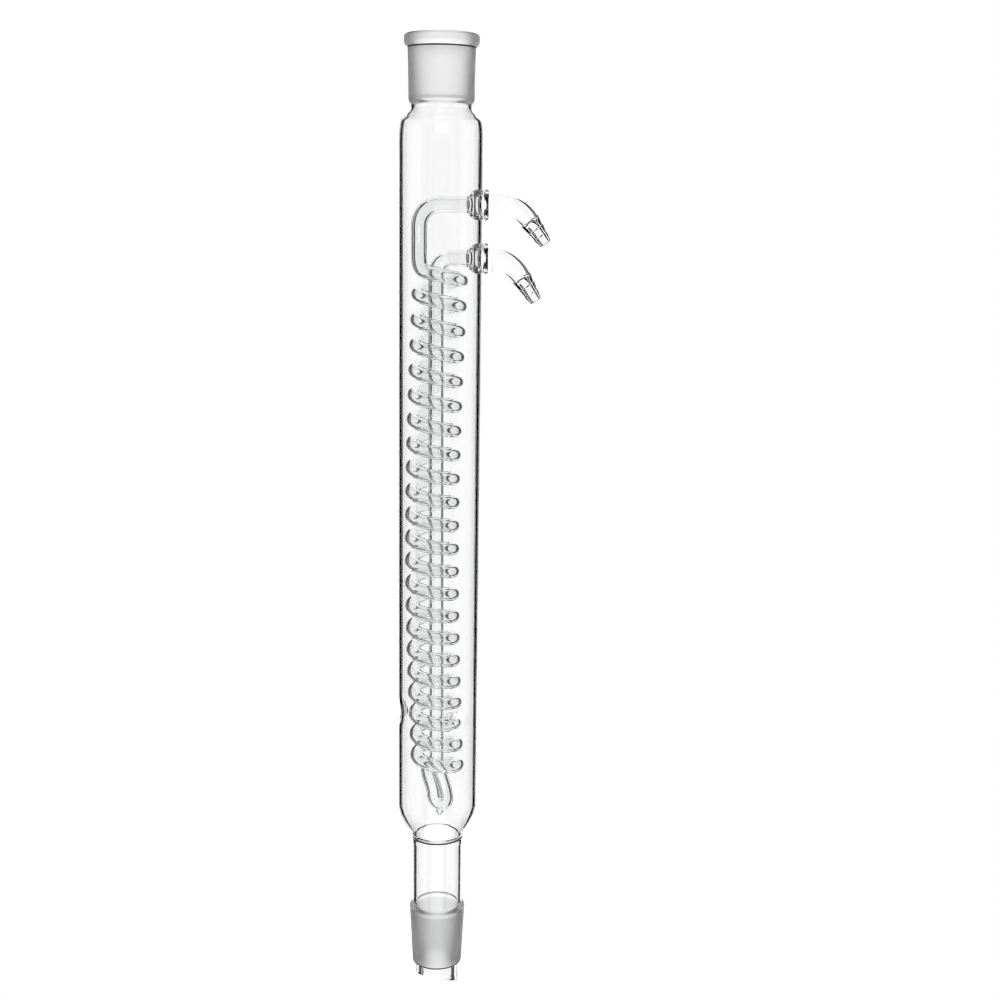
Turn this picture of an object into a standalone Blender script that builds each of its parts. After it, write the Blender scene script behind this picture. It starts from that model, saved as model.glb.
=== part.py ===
"""Coil reflux condenser in borosilicate glass, with 29/32 ground joints.

Vapour rises through the wide jacket tube. Water enters one hose barb, runs down the left-handed coil and
comes back up the straight return tube to the other barb. Metres, +Z up. The origin is the centre of the
lower cone's gauge plane (its large end), +Z runs along the glass, and both side arms point to +X.
"""

import math

import bpy
from mathutils import Matrix, Vector

# ---- driving dimensions, in metres --------------------------------------------------------------------
GAP = 0.0003  # clearance between two pieces that are sealed together
SIDES = 32  # facets round a turned piece

# 29/32 ground joint: 29.2 mm large end, 1 in 10 taper, 32 mm long
JOINT_RADIUS = 0.0146
JOINT_LENGTH = 0.032
JOINT_TAPER = 0.05  # loss of radius per unit of length

JACKET_RADIUS = 0.0210
JACKET_WALL = 0.0018
JACKET_BOTTOM_Z = 0.0367
JACKET_TOP_Z = 0.4214
NECK_RADIUS = 0.0151
STEM_RADIUS = 0.0132
STEM_WALL = 0.0016
STEM_BOTTOM_Z = 0.0050
SOCKET_TOP_Z = 0.4553
SOCKET_BEAD_RADIUS = 0.01855

DENT_Z = 0.1107
DENT_SPREAD = 0.0030  # a dent's depth falls off over this distance
DENTS = ((180.0, 0.0037), (-60.0, 0.0050), (60.0, 0.0050))  # direction in degrees, depth

COIL_RADIUS = 0.01065  # to the tube's centre line
COIL_TUBE_RADIUS = 0.0036
COIL_WALL = 0.0013
COIL_TOP_Z = 0.3361  # height of the first turn at its +X side
COIL_PITCH_TOP = 0.01288
COIL_PITCH_BOTTOM = 0.01142
COIL_LAST_TURN = 21  # the +X side of the last turn, counted from 0
COIL_START_DEGREES = -135.0  # where the coil begins, counted from turn 0's +X side
COIL_END_DEGREES = 105.0  # where it ends, counted from the last turn's +X side
COIL_BOW = 0.0035  # the coil's middle bows this far towards -X
COIL_STEPS = 12  # straight steps in a turn
COIL_FACETS = 1  # bevel resolution: 6 sides

TUBE_RADIUS = 0.0040
TUBE_WALL = 0.0012
CORE_TOP = Vector((-0.0021, 0.0, 0.3393))
CORE_BOTTOM = Vector((-0.0007, 0.0, 0.0838))
HAIRPIN_RADIUS = 0.0049
HAIRPIN_TUBE_RADIUS = 0.0036
HAIRPIN_CENTRE = Vector((0.0012, 0.0010, 0.0628))
HAIRPIN_TURN = math.radians(135.0)  # the hairpin's plane, turned about Z from +X
DRIP_POINT = Vector((0.0013, 0.0010, 0.0544))

UPPER_PORT_Z = 0.3737
LOWER_PORT_Z = 0.3473
PORT_HOLE_RADIUS = 0.0069
SEAL_INNER_X = 0.0130
SEAL_OUTER_X = 0.0236
RISER_X = -0.0108
RISER_BEND = 0.0105
ELBOW_BEND = 0.0080

ARM_ROOT_RADIUS = 0.0071
ARM_END_RADIUS = 0.0050
ARM_WALL = 0.0012
BARB_LENGTH = 0.0139
BARB_BORE = 0.0019

# name, port height, straight run, tilt at the root, tilt at the barb, bend radius (tilts in degrees below +X)
ARMS = (
    ("upper", UPPER_PORT_Z, 0.0044, 0.0, 53.4, 0.0186),
    ("lower", LOWER_PORT_Z, 0.0015, 9.0, 57.0, 0.0207),
)


# ---- scene, materials and basic shapes ----------------------------------------------------------------
def clear_scene():
    for obj in list(bpy.data.objects):
        bpy.data.objects.remove(obj, do_unlink=True)


def new_collection(name):
    collection = bpy.data.collections.new(name)
    bpy.context.scene.collection.children.link(collection)
    return collection


def glass(name, color, roughness):
    material = bpy.data.materials.new(name)
    material.use_nodes = True
    shader = material.node_tree.nodes["Principled BSDF"]
    shader.inputs["Base Color"].default_value = (*color, 1.0)
    shader.inputs["Roughness"].default_value = roughness
    shader.inputs["Metallic"].default_value = 0.0
    shader.inputs["Transmission Weight"].default_value = 1.0
    shader.inputs["IOR"].default_value = 1.473
    return material


clear_scene()
CONDENSER = new_collection("coil_condenser")
CUTTERS = new_collection("cutters")
CLEAR = glass("clear_glass", (0.95, 0.98, 0.98), 0.02)
FROSTED = glass("frosted_glass", (0.90, 0.92, 0.91), 0.55)


def add_object(name, data, material, collection=CONDENSER):
    obj = bpy.data.objects.new(name, data)
    collection.objects.link(obj)
    obj.data.materials.append(material)
    return obj


def smooth(mesh):
    mesh.shade_smooth()
    mesh.set_sharp_from_angle(angle=math.radians(35.0))


def turned(name, profile, material, sides=SIDES, closed=True, placed=None):
    """A solid of revolution about Z. The profile is (radius, z), down the outer side and up the bore."""
    mesh = bpy.data.meshes.new(name)
    points = [(radius, 0.0, z) for radius, z in profile]
    edges = [(i, i + 1) for i in range(len(points) - 1)]
    if closed:
        edges.append((len(points) - 1, 0))
    mesh.from_pydata(points, edges, [])
    obj = add_object(name, mesh, material)
    screw = obj.modifiers.new("turn", "SCREW")
    screw.steps = sides
    screw.render_steps = sides
    screw.use_merge_vertices = True
    screw.merge_threshold = 0.00002
    screw.use_smooth_shade = True
    if placed is not None:
        obj.matrix_world = placed
    return obj


def tube(name, path, radius, wall, material, facets=2):
    """A hollow tube along a list of points. radius is one number, or one for each point."""
    radii = [radius] * len(path) if isinstance(radius, float) else radius
    curve = bpy.data.curves.new(name, "CURVE")
    curve.dimensions = "3D"
    curve.bevel_depth = 1.0
    curve.bevel_resolution = facets
    curve.use_fill_caps = False
    spline = curve.splines.new("POLY")
    spline.points.add(len(path) - 1)
    for point, place, size in zip(spline.points, path, radii):
        point.co = (*place, 1.0)
        point.radius = size
    obj = add_object(name, curve, material)
    shell = obj.modifiers.new("wall", "SOLIDIFY")
    shell.thickness = wall
    shell.offset = -1.0
    shell.use_even_offset = False
    return obj


def baked_mesh(obj):
    """The object's shape with its modifiers, as a new mesh. The object itself is removed."""
    evaluated = obj.evaluated_get(bpy.context.evaluated_depsgraph_get())
    mesh = bpy.data.meshes.new_from_object(evaluated)
    bpy.data.objects.remove(obj, do_unlink=True)
    return mesh


def cut(obj, cutter):
    cutter.hide_render = True
    cutter.display_type = "WIRE"
    boolean = obj.modifiers.new("cut_" + cutter.name, "BOOLEAN")
    boolean.operation = "DIFFERENCE"
    boolean.solver = "EXACT"
    boolean.object = cutter


def arc(centre, start, end, radius, steps, across, up):
    """Points on an arc, between two angles in degrees counted from across towards up."""
    points = []
    for i in range(steps + 1):
        angle = math.radians(start + (end - start) * i / steps)
        points.append(centre + across * (radius * math.cos(angle)) + up * (radius * math.sin(angle)))
    return points


def eased(start, start_heading, end, end_heading, steps):
    """A cubic curve that leaves start and meets end along the two heading vectors."""
    points = []
    for i in range(steps + 1):
        t = i / steps
        points.append(
            start * (2 * t**3 - 3 * t**2 + 1)
            + start_heading * (t**3 - 2 * t**2 + t)
            + end * (3 * t**2 - 2 * t**3)
            + end_heading * (t**3 - t**2)
        )
    return points


def square_ended(path, start_heading, end_heading):
    """The path with a short straight step at both ends, so that its end faces lie square to the headings."""
    step = 0.001
    return [path[0], path[0] + start_heading * step] + path[1:-1] + [path[-1] - end_heading * step, path[-1]]


X_AXIS = Vector((1.0, 0.0, 0.0))
Z_AXIS = Vector((0.0, 0.0, 1.0))
DOWN = -Z_AXIS


# ---- the vapour side: socket, jacket, stem and cone ---------------------------------------------------
def make_upper_socket():
    bore_top = JOINT_RADIUS + 0.0001
    bore_bottom = JOINT_RADIUS - JOINT_TAPER * JOINT_LENGTH
    bottom = JACKET_TOP_Z + GAP
    profile = [
        (bore_top + 0.0002, SOCKET_TOP_Z),
        (SOCKET_BEAD_RADIUS - 0.0010, SOCKET_TOP_Z),
        (SOCKET_BEAD_RADIUS - 0.0003, SOCKET_TOP_Z - 0.0006),
        (SOCKET_BEAD_RADIUS, SOCKET_TOP_Z - 0.0016),
        (SOCKET_BEAD_RADIUS, SOCKET_TOP_Z - 0.0040),
        (SOCKET_BEAD_RADIUS - 0.0006, SOCKET_TOP_Z - 0.0055),
        (0.0168, SOCKET_TOP_Z - 0.0064),
        (0.0163, 0.4250),
        (0.0158, 0.4230),
        (NECK_RADIUS + 0.0001, 0.4223),
        (NECK_RADIUS, bottom),
        (bore_bottom - 0.0002, bottom),
        (bore_bottom, SOCKET_TOP_Z - JOINT_LENGTH),
    ]
    return turned("upper_socket", profile, FROSTED)


def shoulder_profile():
    """The jacket's outer line from the neck under the socket down to the neck above the stem."""
    full = JACKET_RADIUS
    upper = [
        (NECK_RADIUS, JACKET_TOP_Z),
        (0.0155, 0.4202),
        (0.0164, 0.4190),
        (0.0180, 0.4171),
        (0.0201, 0.4142),
        (full, 0.4084),
    ]
    lower = [
        (full, 0.0600),
        (0.0203, 0.0546),
        (0.0192, 0.0515),
        (0.0160, 0.0452),
        (0.0137, 0.0414),
        (0.0133, 0.0402),
        (0.0133, JACKET_BOTTOM_Z),
    ]
    dented = [(full, DENT_Z + DENT_SPREAD * (3.0 - i)) for i in range(7)]
    return upper + dented + lower


def press_dents(mesh):
    """Pushes the wall in, round the three dents that centre the coil."""
    for direction, depth in DENTS:
        angle = math.radians(direction)
        outward = Vector((math.cos(angle), math.sin(angle), 0.0))
        centre = outward * JACKET_RADIUS + Z_AXIS * DENT_Z
        for vertex in mesh.vertices:
            share = math.exp(-((vertex.co - centre).length / DENT_SPREAD) ** 2 / 2.0)
            if share > 0.01:
                vertex.co -= outward * (depth * share)


def make_jacket_tube():
    mesh = baked_mesh(turned("jacket_surface", shoulder_profile(), CLEAR, sides=36, closed=False))
    press_dents(mesh)
    mesh.materials.clear()
    smooth(mesh)
    jacket = add_object("jacket_tube", mesh, CLEAR)
    wall = jacket.modifiers.new("wall", "SOLIDIFY")
    wall.thickness = JACKET_WALL
    wall.offset = -1.0
    wall.use_even_offset = True
    for name, height in (("upper_port", UPPER_PORT_Z), ("lower_port", LOWER_PORT_Z)):
        bpy.ops.mesh.primitive_cylinder_add(
            vertices=24,
            radius=PORT_HOLE_RADIUS,
            depth=0.016,
            location=(JACKET_RADIUS - 0.001, 0.0, height),
            rotation=(0.0, math.pi / 2, 0.0),
        )
        cutter = bpy.context.object
        cutter.name = name + "_hole"
        cut(jacket, cutter)
        move_to(cutter, CUTTERS)
    return jacket


def move_to(obj, collection):
    for owner in list(obj.users_collection):
        owner.objects.unlink(obj)
    collection.objects.link(obj)


def make_lower_stem():
    top = JACKET_BOTTOM_Z - GAP
    bore = STEM_RADIUS - STEM_WALL
    profile = [(bore, top), (STEM_RADIUS, top), (STEM_RADIUS, STEM_BOTTOM_Z), (bore, STEM_BOTTOM_Z)]
    return turned("lower_stem", profile, CLEAR)


def make_lower_cone():
    small_end = JOINT_RADIUS - JOINT_TAPER * JOINT_LENGTH
    top = STEM_BOTTOM_Z - GAP
    tip_radius = 0.0114
    tip_bore = 0.0082
    tip_end = -0.052
    profile = [
        (STEM_RADIUS - STEM_WALL, top),
        (STEM_RADIUS, top),
        (STEM_RADIUS, 0.0026),
        (0.0138, 0.0015),
        (0.0144, 0.0009),
        (JOINT_RADIUS, 0.0),
        (small_end, -JOINT_LENGTH),
        (tip_radius + 0.0003, -JOINT_LENGTH - 0.0012),
        (tip_radius, -JOINT_LENGTH - 0.0024),
        (tip_radius, tip_end),
        (tip_bore, tip_end),
        (tip_bore, -0.0330),
        (0.0102, -0.0230),
        (STEM_RADIUS - STEM_WALL - 0.0002, -0.0060),
    ]
    cone = turned("lower_cone", profile, FROSTED)
    # the clear tip is cut off slantwise, lowest at its back right
    facing = Vector((0.21, 0.46, 1.0)).normalized()
    block = 0.06
    bpy.ops.mesh.primitive_cube_add(size=block)
    cutter = bpy.context.object
    cutter.name = "tip_cut"
    turn = Z_AXIS.rotation_difference(facing).to_matrix().to_4x4()
    cutter.matrix_world = Matrix.Translation(Z_AXIS * -0.0425) @ turn @ Matrix.Translation(DOWN * block / 2)
    cut(cone, cutter)
    move_to(cutter, CUTTERS)
    return cone


# ---- the water side: coil, riser, return tube and bottom bend -----------------------------------------
def coil_place(turns):
    """A point on the coil's centre line, counted in turns from turn 0's +X side."""
    shrink = (COIL_PITCH_TOP - COIL_PITCH_BOTTOM) / COIL_LAST_TURN / 2.0
    z = COIL_TOP_Z - COIL_PITCH_TOP * turns + shrink * turns**2
    bow = COIL_BOW * math.sin(math.pi * min(max((turns + 0.4) / (COIL_LAST_TURN + 0.8), 0.0), 1.0))
    angle = math.tau * turns
    return Vector((COIL_RADIUS * math.cos(angle) - bow, COIL_RADIUS * math.sin(angle), z))


def coil_heading(turns):
    step = 0.0005
    return (coil_place(turns + step) - coil_place(turns - step)).normalized()


COIL_START = COIL_START_DEGREES / 360.0
COIL_END = COIL_LAST_TURN + COIL_END_DEGREES / 360.0


def make_cooling_coil():
    steps = round((COIL_END - COIL_START) * COIL_STEPS)
    path = [coil_place(COIL_START + (COIL_END - COIL_START) * i / steps) for i in range(steps + 1)]
    path = square_ended(path, coil_heading(COIL_START), coil_heading(COIL_END))
    return tube("cooling_coil", path, COIL_TUBE_RADIUS, COIL_WALL, CLEAR, COIL_FACETS)


def make_coil_riser():
    """From the upper ring seal across to -X, down, and round into the coil's first turn."""
    corner = Vector((RISER_X + RISER_BEND, 0.0, UPPER_PORT_Z - RISER_BEND))
    across = [Vector((SEAL_INNER_X - GAP, 0.0, UPPER_PORT_Z)), Vector((0.006, 0.0, UPPER_PORT_Z))]
    bend = arc(corner, 90.0, 180.0, RISER_BEND, 6, X_AXIS, Z_AXIS)
    heading = coil_heading(COIL_START)
    meet = coil_place(COIL_START) - heading * GAP
    reach = 0.016
    sweep = eased(Vector((RISER_X, 0.0005, 0.3545)), DOWN * reach, meet, heading * reach, 8)
    path = square_ended(across + bend + sweep, -X_AXIS, heading)
    radii = [TUBE_RADIUS] * (len(path) - 4) + [0.0039, 0.0037, COIL_TUBE_RADIUS, COIL_TUBE_RADIUS]
    return tube("coil_riser", path, radii, COIL_WALL, CLEAR)


def make_return_tube():
    """Straight up the middle, then over to the lower ring seal."""
    corner = CORE_TOP + X_AXIS * ELBOW_BEND
    elbow = arc(corner, 180.0, 90.0, ELBOW_BEND, 6, X_AXIS, Z_AXIS)
    end = Vector((SEAL_INNER_X - GAP, 0.0, CORE_TOP.z + ELBOW_BEND))
    return tube("return_tube", [CORE_BOTTOM] + elbow + [end], TUBE_RADIUS, TUBE_WALL, CLEAR)


def make_bottom_bend():
    """From the return tube down round a tight hairpin, and up to the coil's last turn."""
    side = Vector((math.cos(HAIRPIN_TURN), math.sin(HAIRPIN_TURN), 0.0))
    hairpin = arc(HAIRPIN_CENTRE, 180.0, 360.0, HAIRPIN_RADIUS, 8, side, Z_AXIS)
    core_heading = (CORE_BOTTOM - CORE_TOP).normalized()
    top = CORE_BOTTOM + core_heading * GAP
    first = eased(top, core_heading * 0.020, hairpin[0], DOWN * 0.020, 6)
    heading = coil_heading(COIL_END)
    meet = coil_place(COIL_END) + heading * GAP
    last = eased(hairpin[-1], Z_AXIS * 0.017, meet, -heading * 0.020, 9)
    path = square_ended(first + hairpin[1:-1] + last, core_heading, -heading)
    taper = [TUBE_RADIUS, TUBE_RADIUS, 0.0039, 0.0037, 0.0035]
    radii = taper + [HAIRPIN_TUBE_RADIUS] * (len(path) - len(taper) - 3) + [0.0035, COIL_TUBE_RADIUS]
    radii += [COIL_TUBE_RADIUS]
    return tube("bottom_bend", path, radii, COIL_WALL, CLEAR)


def make_drip_point():
    profile = [
        (0.0, 0.0),
        (0.0021, 0.0),
        (0.0019, -0.0007),
        (0.0010, -0.0020),
        (0.0006, -0.0030),
        (0.0, -0.0033),
    ]
    return turned("drip_point", profile, CLEAR, 12, closed=False, placed=Matrix.Translation(DRIP_POINT))


# ---- the water connections: ring seals, side arms and hose barbs --------------------------------------
def make_ring_seal(name, height):
    """A flared seal that carries the water through the wall. Its own axis Z points out along +X."""
    length = SEAL_OUTER_X - SEAL_INNER_X
    inner_wall = JACKET_RADIUS - JACKET_WALL - SEAL_INNER_X
    outer_wall = JACKET_RADIUS - SEAL_INNER_X
    plug = PORT_HOLE_RADIUS - GAP
    bore = TUBE_RADIUS - TUBE_WALL
    arm_bore = ARM_ROOT_RADIUS - ARM_WALL
    profile = [
        (arm_bore, length),
        (ARM_ROOT_RADIUS, length),
        (ARM_ROOT_RADIUS + 0.0006, length - 0.0008),
        (ARM_ROOT_RADIUS + 0.0006, outer_wall + 0.0009),
        (ARM_ROOT_RADIUS + 0.0003, outer_wall + 0.0004),
        (plug, outer_wall + 0.0004),
        (plug, inner_wall - 0.0012),
        (0.0075, inner_wall - 0.0024),
        (0.0073, inner_wall - 0.0032),
        (0.0049, 0.0012),
        (TUBE_RADIUS, 0.0),
        (bore, 0.0),
        (bore, 0.0012),
        (0.0042, inner_wall - 0.0034),
        (0.0051, inner_wall - 0.0018),
        (0.0054, outer_wall),
    ]
    placed = Matrix.Translation((SEAL_INNER_X, 0.0, height)) @ Matrix.Rotation(math.pi / 2, 4, "Y")
    return turned(name, profile, CLEAR, 24, placed=placed)


def arm_path(height, straight, start_tilt, end_tilt, bend):
    """The side arm's centre line, and the heading at its end."""
    start = Vector((SEAL_OUTER_X + GAP, 0.0, height))
    out = Vector((math.cos(math.radians(start_tilt)), 0.0, -math.sin(math.radians(start_tilt))))
    into_bend = Vector((out.z, 0.0, -out.x))
    centre = start + X_AXIS * (straight + 0.001) + into_bend * bend
    bow = arc(centre, 90.0 - start_tilt, 90.0 - end_tilt, bend, 8, X_AXIS, Z_AXIS)
    end_heading = Vector((math.cos(math.radians(end_tilt)), 0.0, -math.sin(math.radians(end_tilt))))
    return [start] + bow, end_heading


def make_side_arm(name, path):
    """Narrows evenly from the seal to the barb. Its first and last steps don't taper."""
    runs = [0.0]
    for a, b in zip(path[1:-2], path[2:-1]):
        runs.append(runs[-1] + (b - a).length)
    radii = [ARM_ROOT_RADIUS + (ARM_END_RADIUS - ARM_ROOT_RADIUS) * run / runs[-1] for run in runs]
    return tube(name, path, radii[:1] + radii + radii[-1:], ARM_WALL, CLEAR)


def make_hose_barb(name, start, heading):
    """Three teeth that widen towards the arm. The barb's own axis Z points out of its mouth."""
    teeth = ((0.0006, 0.0051), (0.0051, 0.0046), (0.0093, 0.0040))  # distance from the arm, radius
    outer = []
    for distance, radius in teeth:
        if outer:
            outer.append((radius - 0.0004, distance - 0.0003))
        outer.append((radius, distance))
    outer = [(ARM_END_RADIUS, 0.0)] + outer + [(0.0031, BARB_LENGTH - 0.0005), (0.0027, BARB_LENGTH)]
    arm_bore = ARM_END_RADIUS - ARM_WALL
    profile = [(BARB_BORE, BARB_LENGTH)] + outer[::-1] + [(arm_bore, 0.0), (BARB_BORE + 0.0003, 0.0024)]
    turn = Z_AXIS.rotation_difference(heading).to_matrix().to_4x4()
    placed = Matrix.Translation(start + heading * GAP) @ turn
    return turned(name, profile, CLEAR, 20, placed=placed)


def make_water_connection(side, height, straight, start_tilt, end_tilt, bend):
    make_ring_seal(side + "_ring_seal", height)
    path, heading = arm_path(height, straight, start_tilt, end_tilt, bend)
    make_side_arm(side + "_side_arm", square_ended(path, X_AXIS, heading))
    make_hose_barb(side + "_hose_barb", path[-1], heading)


make_upper_socket()
make_jacket_tube()
make_lower_stem()
make_lower_cone()
make_cooling_coil()
make_coil_riser()
make_return_tube()
make_bottom_bend()
make_drip_point()
for arm in ARMS:
    make_water_connection(*arm)
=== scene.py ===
"""Looks of the coil reflux condenser: borosilicate glass with ground joints, in bright-field light.

Every CAD node is replaced by a finer piece in the same place. The real object is one fused glass, so a
piece ends exactly where its neighbour starts, and the end faces there carry a material that lets light
straight through.
"""

import math

import bmesh
import bpy
from mathutils import Matrix, Vector


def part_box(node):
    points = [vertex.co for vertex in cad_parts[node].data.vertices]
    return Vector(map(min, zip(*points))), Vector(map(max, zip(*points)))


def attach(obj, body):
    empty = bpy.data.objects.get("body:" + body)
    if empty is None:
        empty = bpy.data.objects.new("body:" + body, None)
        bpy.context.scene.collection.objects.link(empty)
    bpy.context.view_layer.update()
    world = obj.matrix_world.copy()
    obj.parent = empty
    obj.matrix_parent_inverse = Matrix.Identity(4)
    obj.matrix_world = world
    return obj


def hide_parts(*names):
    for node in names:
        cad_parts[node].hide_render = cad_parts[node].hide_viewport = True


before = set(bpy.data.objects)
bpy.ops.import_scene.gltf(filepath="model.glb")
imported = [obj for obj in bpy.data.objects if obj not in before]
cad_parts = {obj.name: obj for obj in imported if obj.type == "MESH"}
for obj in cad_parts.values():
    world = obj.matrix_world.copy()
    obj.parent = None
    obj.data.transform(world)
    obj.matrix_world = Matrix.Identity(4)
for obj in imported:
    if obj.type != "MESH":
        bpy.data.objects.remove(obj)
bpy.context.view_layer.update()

# ---- sizes from the frame, in metres ------------------------------------------------------------------
JACKET_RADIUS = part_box("jacket_tube")[1].y
JACKET_TOP_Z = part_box("jacket_tube")[1].z
JACKET_BOTTOM_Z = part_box("jacket_tube")[0].z
STEM_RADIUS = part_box("lower_stem")[1].y
STEM_BOTTOM_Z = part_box("lower_stem")[0].z
SOCKET_TOP_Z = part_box("upper_socket")[1].z
BEAD_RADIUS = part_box("upper_socket")[1].y
SEAL_INNER_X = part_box("upper_ring_seal")[0].x
SEAL_OUTER_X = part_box("upper_ring_seal")[1].x

# ---- sizes that repeat the CAD source -----------------------------------------------------------------
JOINT_RADIUS = 0.0146
JOINT_LENGTH = 0.032
JOINT_TAPER = 0.05
JACKET_WALL = 0.0018
FOOT_TOP_Z = 0.0408  # top of the jacket's foot, the narrow part by which it stands on the stem
BORE_SHIFT = -0.00020  # the jacket's bore lies off centre along X, so its wall is thinner on that side
NECK_RADIUS = 0.0151
STEM_WALL = 0.0016
TIP_SLANT = (0.21, 0.46)  # how far the drip tip's end rises per unit towards -X and -Y
TIP_Z = -0.0425

DENT_Z = 0.1107
DENT_SPREAD = 0.0030
DENTS = ((180.0, 0.0037), (-60.0, 0.0050), (60.0, 0.0050))  # (direction in degrees, depth)

COIL_RADIUS = 0.01065
COIL_TUBE_RADIUS = 0.0036
COIL_WALL = 0.0013
COIL_TOP_Z = 0.3361
COIL_PITCH_TOP = 0.01288
COIL_PITCH_BOTTOM = 0.01142
COIL_LAST_TURN = 21
COIL_START = -135.0 / 360.0  # in turns, 0 being the first turn's +X side
COIL_END = COIL_LAST_TURN + 105.0 / 360.0
COIL_BOW = 0.0035  # how far the coil's middle leans towards -X
COIL_BOW_MARGIN = 0.4  # turns by which the bow reaches past both ends

TUBE_RADIUS = 0.0040
TUBE_WALL = 0.0012
CORE_TOP = Vector((-0.0021, 0.0, 0.3393))
CORE_BOTTOM = Vector((-0.0007, 0.0, 0.0838))
HAIRPIN_RADIUS = 0.0049
HAIRPIN_TUBE_RADIUS = 0.0036
HAIRPIN_CENTRE = Vector((0.0012, 0.0010, 0.0628))
HAIRPIN_TURN = math.radians(135.0)
DRIP_POINT = Vector((0.0013, 0.0010, 0.0544))

UPPER_PORT_Z = 0.3737
LOWER_PORT_Z = 0.3473
PORT_RADIUS = 0.0069
RISER_X = -0.0108
RISER_BEND = 0.0105
ELBOW_BEND = 0.0080

ARM_ROOT_RADIUS = 0.0071
ARM_END_RADIUS = 0.0050
ARM_WALL = 0.0012
BARB_LENGTH = 0.0139
BARB_BORE = 0.0019
ARM_ROOT_RUN = 0.0013  # straight part that every arm has besides its own run
# (side, height, straight run, tilt at the root and at the end in degrees, radius of the bend)
ARMS = (
    ("upper", UPPER_PORT_Z, 0.0044, 0.0, 53.4, 0.0186),
    ("lower", LOWER_PORT_Z, 0.0015, 9.0, 57.0, 0.0207),
)

X_AXIS = Vector((1.0, 0.0, 0.0))
Z_AXIS = Vector((0.0, 0.0, 1.0))
DOWN = -Z_AXIS

# ---- sizes of the looks alone -------------------------------------------------------------------------
GROUND_END_Z = -0.0305  # where the lower joint's grinding ends, a little above its narrow end
FOOT_SHADE_HALF_HEIGHT = 0.0006  # half the height of the painted shade line round the foot's top
FOOT_BORE_RISE = 0.0012  # how far above the foot's top the bore stays as narrow as the stem's
NIB_CORE = 0.00002  # the drip point's outline ends this close to its axis

# ---- fineness of the meshes ---------------------------------------------------------------------------
JACKET_SIDES = 128
TURNED_SIDES = 96
TUBE_SIDES = 24
COIL_SIDES = 20
COIL_STEPS = 56  # rings in one turn of the coil
WINDOW_CELLS = 18  # the square of jacket cells that gives way to a port, on each side
DENT_REACH = 0.012  # height above and below the dents outside which the wall is left alone
MERGE_DISTANCE = 0.000002
SHARP_ANGLE = 40.0  # degrees between two faces, above which their edge stays sharp

# material slots of every piece, in the order of MATERIALS: fire-polished glass, the socket's ground
# bore, a fused end, the cone's ground side painted a shade darker, a painted shade line in creases,
# and the socket's satin outside
CLEAR, FROSTED, WELD, MATT_AND_SHADE, PAINTED_SHADE, SATIN = 0, 1, 2, 3, 4, 5


# ---- materials ----------------------------------------------------------------------------------------
GLASS_IOR = 1.473
# (scale, stretch) of each noise; a stretch under 1 draws it out along Z
DRAWN_LINES = (420.0, 0.02)
CLOUDS = (260.0, 0.5)
GRAIN = (2600.0, 1.0)
NOISE_LOW, NOISE_HIGH = 0.3, 0.7  # between these the noise's values are spread to the full range
CLOUD_TONE = 0.95  # colour of the darkest clouds, as a share of the ground glass's own
GRAIN_SPREAD = 0.05  # how far the grain moves the roughness either way


def shader_nodes(name):
    material = bpy.data.materials.new(name)
    material.use_nodes = True
    tree = material.node_tree
    return material, tree.nodes, tree.links, tree.nodes["Principled BSDF"]


def noise_between(nodes, links, pattern, low, high):
    """A noise over the piece, as a number between low and high."""
    scale, stretch = pattern
    place = nodes.new("ShaderNodeTexCoord")
    mapping = nodes.new("ShaderNodeMapping")
    mapping.inputs["Scale"].default_value = (1.0, 1.0, stretch)
    noise = nodes.new("ShaderNodeTexNoise")
    noise.inputs["Scale"].default_value = scale
    noise.inputs["Detail"].default_value = 3.0
    remap = nodes.new("ShaderNodeMapRange")
    remap.inputs["From Min"].default_value = NOISE_LOW
    remap.inputs["From Max"].default_value = NOISE_HIGH
    remap.inputs["To Min"].default_value = low
    remap.inputs["To Max"].default_value = high
    links.new(place.outputs["Object"], mapping.inputs["Vector"])
    links.new(mapping.outputs["Vector"], noise.inputs["Vector"])
    links.new(noise.outputs["Fac"], remap.inputs["Value"])
    return remap.outputs["Result"]


def tinted(nodes, links, shader, amount, light, dark):
    """The shader's colour between a light and a slightly darker tone."""
    mix = nodes.new("ShaderNodeMix")
    mix.data_type = "RGBA"
    links.new(amount, mix.inputs["Factor"])
    mix.inputs["A"].default_value = (*light, 1.0)
    mix.inputs["B"].default_value = (*dark, 1.0)
    links.new(mix.outputs["Result"], shader.inputs["Base Color"])


def clear_glass():
    """Fire-polished borosilicate, with faint lines along the drawn tube."""
    material, nodes, links, shader = shader_nodes("clear_borosilicate")
    lines = noise_between(nodes, links, DRAWN_LINES, 0.0, 1.0)
    tinted(nodes, links, shader, lines, (0.985, 0.987, 0.986), (0.95, 0.955, 0.952))
    shader.inputs["Transmission Weight"].default_value = 1.0
    shader.inputs["IOR"].default_value = GLASS_IOR
    shader.inputs["Roughness"].default_value = 0.0
    return material


def frosted_glass(name, color, transmission, roughness):
    """Rough glass, finely grained and slightly cloudy: ground faces, satin sides and the painted shade
    in creases.
    """
    material, nodes, links, shader = shader_nodes(name)
    clouds = noise_between(nodes, links, CLOUDS, 0.0, 1.0)
    tinted(nodes, links, shader, clouds, color, tuple(CLOUD_TONE * c for c in color))
    shader.inputs["Transmission Weight"].default_value = transmission
    shader.inputs["IOR"].default_value = GLASS_IOR
    grain = noise_between(nodes, links, GRAIN, roughness - GRAIN_SPREAD, roughness + GRAIN_SPREAD)
    links.new(grain, shader.inputs["Roughness"])
    return material


def weld():
    """Where two pieces are fused, light goes straight through."""
    material = bpy.data.materials.new("fused_joint")
    material.use_nodes = True
    nodes, links = material.node_tree.nodes, material.node_tree.links
    nodes.clear()
    output = nodes.new("ShaderNodeOutputMaterial")
    through = nodes.new("ShaderNodeBsdfTransparent")
    links.new(through.outputs["BSDF"], output.inputs["Surface"])
    return material


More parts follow.
